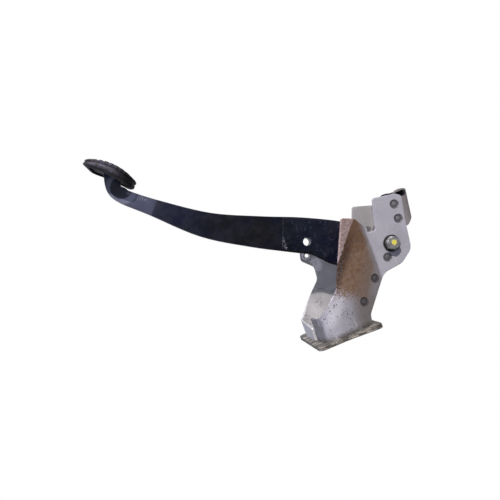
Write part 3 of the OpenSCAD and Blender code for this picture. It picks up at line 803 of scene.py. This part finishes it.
def rows_mesh(name, rows, hole=False):
    """A mesh of rows with as many points, closed at both ends or with a hole through it."""
    sides = len(rows[0])
    index = [range(r * sides, (r + 1) * sides) for r in range(len(rows))]
    faces = [face for a, b in zip(index, index[1:]) for face in joined(a, b)]
    faces += joined(index[-1], index[0]) if hole else [tuple(index[0]), tuple(index[-1])]
    return made_mesh(name, [p for row in rows for p in row], faces)


def turned(name, rows, material, body, slot, node, hole=False):
    """A piece round the pivot's axis, with its corners left sharp."""
    made = finished(name, rows_mesh(name, rows, hole), material, body, slot, node, weighted=False)
    made.data.set_sharp_from_angle(angle=math.radians(32))
    return made


bolt_zinc = small_steel("dull zinc with a paint dab", "9E9FA1", "77787B",
                        (seat_x + 0.4, (-71.4, 76.9), (2.7, 2.7), "F0E672"))
sleeve_zinc = small_steel("dull zinc", "A7A6A3", "85837F")
phosphate = small_steel("black phosphate", "3A3938", "222121")
point = [ring(bolt_end, 2.6), ring(bolt_end, 3.0)]
thread = [ring(bolt_end + 0.4 + i * thread_pitch / 2, bolt_r if i % 2 else root_r)
          for i in range(thread_rows)]
head = [ring(seat_x - 0.4, bolt_r), ring(seat_x, 4.4), ring(seat_x, 6.2), ring(seat_x + 0.35, 6.45),
        ring(seat_x + 0.7, hex_corner, 1), ring(head_end - 1, hex_corner, 1),
        ring(head_end - 0.5, 6.85, 0.6), ring(head_end - 0.1, 6.1), ring(head_end, 5.6),
        ring(head_end, 2.0)]
nut = [ring(-seat_x, 4.1), ring(-seat_x, 6.1), ring(-seat_x - 0.4, 6.5),
       ring(-seat_x - 0.9, hex_corner, 1), ring(nut_end + 0.9, hex_corner, 1),
       ring(nut_end + 0.4, 6.7, 0.5), ring(nut_end, 6.1), ring(nut_end, 4.7), ring(nut_end + 0.5, 4.1)]
turned("pivot_bolt_with_thread", point + thread + head, bolt_zinc, "bracket", "fasteners", "pivot_bolt")
turned("pivot_nut_chamfered", nut, sleeve_zinc, "bracket", "fasteners", "pivot_nut", hole=True)
softened("head_washer", "washer_under_the_head_piece", phosphate, 0.25)
softened("nut_washer", "washer_under_the_nut_piece", phosphate, 0.25)
softened("pivot_sleeve", "pivot_sleeve_piece", sleeve_zinc, 0.3)


# Pedal arm and its doublers: an 8 mm steel bar, blanked and cranked, with a plate welded to each
# side of its top. All are dipped in gloss black paint, which has a navy cast and fine dust, drawn
# coarse enough to show. It is worn grey along the edges, and the doublers are scuffed. On the hook
# lie a painted sheen and a painted shadow of the pad, and further up the arm a painted navy reflection.
def hook_sheen_and_shadow(tree, shader, place, colour):
    """Past a line across the hook a painted sheen turns the paint a dull blue-grey, paler in a crescent
    round a disc of painted shadow under the pad, which stays black and loses most of its coat. Further
    up the arm a painted reflection gives the paint its strongest navy cast."""
    # Painted shadow of the pad: a disc where most of the coat is taken away and the sheen is left off.
    pad_shadow = masked(tree, zone(tree, place, (-215.1, -158.2), (11, 11), 0, 0.06), 0.9)
    out_of_pad_shadow = add(tree, "Math", {0: 1.0, 1: pad_shadow}, operation="SUBTRACT").outputs[0]
    tree.links.new(out_of_pad_shadow, shader.inputs["Coat Weight"])
    uneven = eased(tree, blotches(tree, place, 12, 0.2, 0.8), 0, 1, 0.7, 1)
    # Painted sheen: the paint past the line is lightened to a dull blue-grey.
    scuffs_and_sheen = masked(tree, beyond(tree, place, (-0.646, -0.763), 222.3, 0.7), uneven, out_of_pad_shadow)
    colour = laid_on(tree, colour, scuffs_and_sheen, "43455E", 0.75)
    # Painted sheen, paler, in a crescent round the painted shadow.
    sheen_crescent = masked(tree, scuffs_and_sheen, zone(tree, place, (-214.6, -157.8), (16, 16), 0, 0.1))
    colour = laid_on(tree, colour, sheen_crescent, "777A92", 0.8)
    whole = add(tree, "Math", {0: 1.0, 1: scuffs_and_sheen}, operation="SUBTRACT").outputs[0]
    # Painted navy reflection further up the arm, off the painted sheen.
    navy_reflection = masked(tree, zone(tree, place, (-175.4, -118), (17, 20), 0, 0.5), whole)
    return laid_on(tree, colour, navy_reflection, "070D29", 0.9)


def black_paint(name, light, dark, scratched=0.0, hook=False, dull=0.0, chips=()):
    """scratched and dull are shares; each chipped edge is a centre, radii, a turn and a share."""
    made, tree, shader, place = new_material(name, IOR=1.5, Coat_Weight=1 - dull, Coat_Roughness=0.1)
    colour = laid_on(tree, light, blotches(tree, place, 30, 0.35, 0.65), dark)
    dust = blotches(tree, place, 1.3, 0.62, 0.75, 3.0)
    colour = laid_on(tree, colour, dust, "2E3550", 0.2)
    out = add(tree, "Math", {0: facing(tree, 0)}, operation="ABSOLUTE").outputs[0]
    edge = masked(tree, eased(tree, out, 0.95, 0.6), eased(tree, out, 0.02, 0.3, 0.25, 1.0),
                  blotches(tree, place, 2.6, 0.56, 0.64, 3.0))
    colour = laid_on(tree, colour, edge, "85858C", 0.6)
    for centre, radii, turn, share in chips:
        chip = masked(tree, zone(tree, wobbled(tree, place, 2, 1), centre, radii, turn, 0.3),
                      blotches(tree, place, 0.9, 0.54, 0.6, 2.0))
        colour = laid_on(tree, colour, chip, "A9ADB8", share)
    if hook:
        colour = hook_sheen_and_shadow(tree, shader, place, colour)
    if scratched:
        for size, low, stretch in ((2.0, 0.62, (1, 0.2, 1)), (1.6, 0.64, (1, 1, 0.25))):
            scratch = blotches(tree, place, size, low, low + 0.06, 2.0, stretch)
            colour = laid_on(tree, colour, scratch, "4C5674", scratched)
    sheen = blotches(tree, place, 9, 0.3, 0.7)
    rough = eased(tree, sheen, 0, 1, 0.24 + 0.36 * dull, 0.36 + 0.36 * dull)
    dressed(tree, shader, colour, rough, blotches(tree, place, 6, 0.2, 0.8, 3.0), 0.02)
    return made


paint_arm = black_paint("gloss black paint", "090A11", "050A20", hook=True, chips=[
    ((-202.2, -146.2), (10.5, 3.0), 52, 1.0)])
paint_doubler = black_paint("scratched gloss black paint", "060A15", "080D21", 0.3, chips=[
    ((-107, -23), (12, 1.6), 0, 0.7)])
softened("pedal_arm", "pedal_arm_piece", paint_arm, 1.1, 3)
softened("right_doubler", "right_doubler_piece", paint_doubler, 0.6)
softened("left_doubler", "left_doubler_piece", paint_doubler, 0.6)


# Pivot tube and bushings: a steel tube welded across the arm's top and painted with it, and two
# bushings of moulded nylon, cream and satin, that are pressed into its ends and turn on the sleeve.
nylon = moulded("moulded nylon", "C9C3AE", "B3AC95")
softened("pivot_tube", "pivot_tube_piece", paint_arm, 0.3)
softened("right_bushing", "right_bushing_piece", nylon, 0.3)
softened("left_bushing", "left_bushing_piece", nylon, 0.3)


# Return spring: round wire of spring steel, dark and half dull with oil, coiled round the pivot
# tube. One leg bears under the front channel and the other hooks into the arm.
wire_r = 1.1
coil_r = 12.9
coil_pitch = 2.6
coil_first = 60
coil_sweep = 3 * 360 + 125
coil_near = -7.7
coil_far = coil_near - coil_pitch * coil_sweep / 360
front_leg = Vector((coil_far, 19, 3.8))
hook_at = Vector((coil_near, -18, -34))
coil_points = 150
wire_sides = 12


def spring_path():
    """The wire's middle line, in mm from the pivot."""
    path = [front_leg]
    for share in (i / coil_points for i in range(coil_points + 1)):
        a = math.radians(coil_first + coil_sweep * share)
        x = coil_far + (coil_near - coil_far) * share
        path.append(Vector((x, coil_r * math.cos(a), coil_r * math.sin(a))))
    path += [path[-1].lerp(hook_at, t) for t in (0.25, 0.5, 0.75, 0.95)]
    bend = [Vector((0.7, -0.2, -0.4)), Vector((2.2, 0, 0)), Vector((-coil_near, 0, 0))]
    return path + [hook_at + step for step in bend]


def wire_rows(path):
    """Points round the wire at each point of its middle line."""
    rows = []
    side = Vector((1, 0, 0))
    for i, p in enumerate(path):
        along = (path[min(i + 1, len(path) - 1)] - path[max(i - 1, 0)]).normalized()
        side = (side - along * side.dot(along)).normalized()
        other = along.cross(side)
        turns = [2 * math.pi * k / wire_sides for k in range(wire_sides)]
        rows.append([pivot + (p + wire_r * (math.cos(a) * side + math.sin(a) * other)) * MM
                     for a in turns])
    return rows


spring_steel = small_steel("oiled spring steel", "55545A", "3A393C")
spring_mesh = rows_mesh("return_spring_wire", wire_rows(spring_path()))
spring = finished("return_spring_wire", spring_mesh, spring_steel, None, "spring_steel",
                  "return_spring", weighted=False)
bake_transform(spring)


# Pad plate: a flat steel plate welded to the arm's end and painted dull black. The rubber pad is
# pulled over it: a domed block with ribs across its face, a bead round its top edge and a lip that
# grips the plate from below. Its sides towards the low end carry a painted sheen, pale and bluish.
paint_pad = black_paint("dull black paint", "08080A", "0B0B0F", dull=0.9)
softened("pad_plate", "pad_plate_piece", paint_pad, 0.4)

pad_rubber = moulded("moulded rubber", "1B191C", "282425", "55536A")
pad_place = pivot + Vector((0, -160, -240)) * MM
pad_tilt = math.radians(44.3)
pad_w = 57.0
pad_low_y = -25.5
pad_high_y = 25.0
face_y = 3.0
face_z = 10.2
foot_z = -2.8
groove_pitch = 36.5 / 7
groove_half = 1.25
groove_depth = 1.3
rim_inset = 1.6
pad_outline = [(-pad_w / 2, pad_low_y, 12), (pad_w / 2, pad_low_y, 12),
               (pad_w / 2, pad_high_y, 22), (-pad_w / 2, pad_high_y, 22)]
# Each row of the side: how far in it lies, in mm, and how far down as a share of the side. A bead
# runs round the top, then a groove, a band, and the lip under the plate.
side_rows = [(0.7, 0.03), (0.15, 0.1), (0.0, 0.18), (0.15, 0.26), (0.75, 0.31), (0.9, 0.35),
             (0.75, 0.39), (0.2, 0.43), (0.0, 0.5), (0.0, 0.72), (0.3, 0.78), (1.6, 0.88),
             (2.8, 0.96), (3.6, 1.0), (6.0, 1.0), (6.2, 0.93)]


def sagged(distance, radius):
    """How far a dome of a radius has dropped at a distance from its top."""
    return radius - math.sqrt(radius ** 2 - distance ** 2)


def pad_top(x, y):
    return face_z - sagged(y - face_y, 49) - sagged(x, 228)


def pad_foot(y):
    return foot_z - sagged(y - face_y, 151.5)


def groove(y):
    """How deep the face is cut between two ribs."""
    place = (y - face_y) / groove_pitch
    if abs(round(place)) > 3:
        return 0.0
    off = abs(place - round(place)) * groove_pitch
    return groove_depth * max(0, 1 - (off / groove_half) ** 2) ** 0.6


def pad_mesh(name):
    """The face, and the rows of the side that go on from its rim down to the lip."""
    loop = resampled(rounded(pad_outline), 0.7)
    ways = outward(loop)
    rim = [p - w * rim_inset for p, w in zip(loop, ways)]
    points, faces = filled([rim], 1.6, 0.5)
    vertices = [Vector((p.x, p.y, pad_top(p.x, p.y) - groove(p.y))) for p in points]
    faces = [tuple(f) for f in faces]
    above = range(len(rim))
    for inset, share in side_rows:
        row = range(len(vertices), len(vertices) + len(loop))
        for p, w, edge in zip(loop, ways, rim):
            q = p - w * inset
            top = pad_top(edge.x, edge.y)
            notch = groove(edge.y) * max(0, 1 - share / 0.15)
            vertices.append(Vector((q.x, q.y, top - notch + (pad_foot(q.y) - top) * share)))
        faces += joined(above, row)
        above = row
    pad_frame = Matrix.Translation(pad_place) @ Matrix.Rotation(pad_tilt, 4, "X")
    return made_mesh(name, [pad_frame @ (v * MM) for v in vertices], faces)


finished("ribbed_rubber_pad", pad_mesh("ribbed_rubber_pad"), pad_rubber, "pedal", "rubber",
         "rubber_pad", weighted=False)
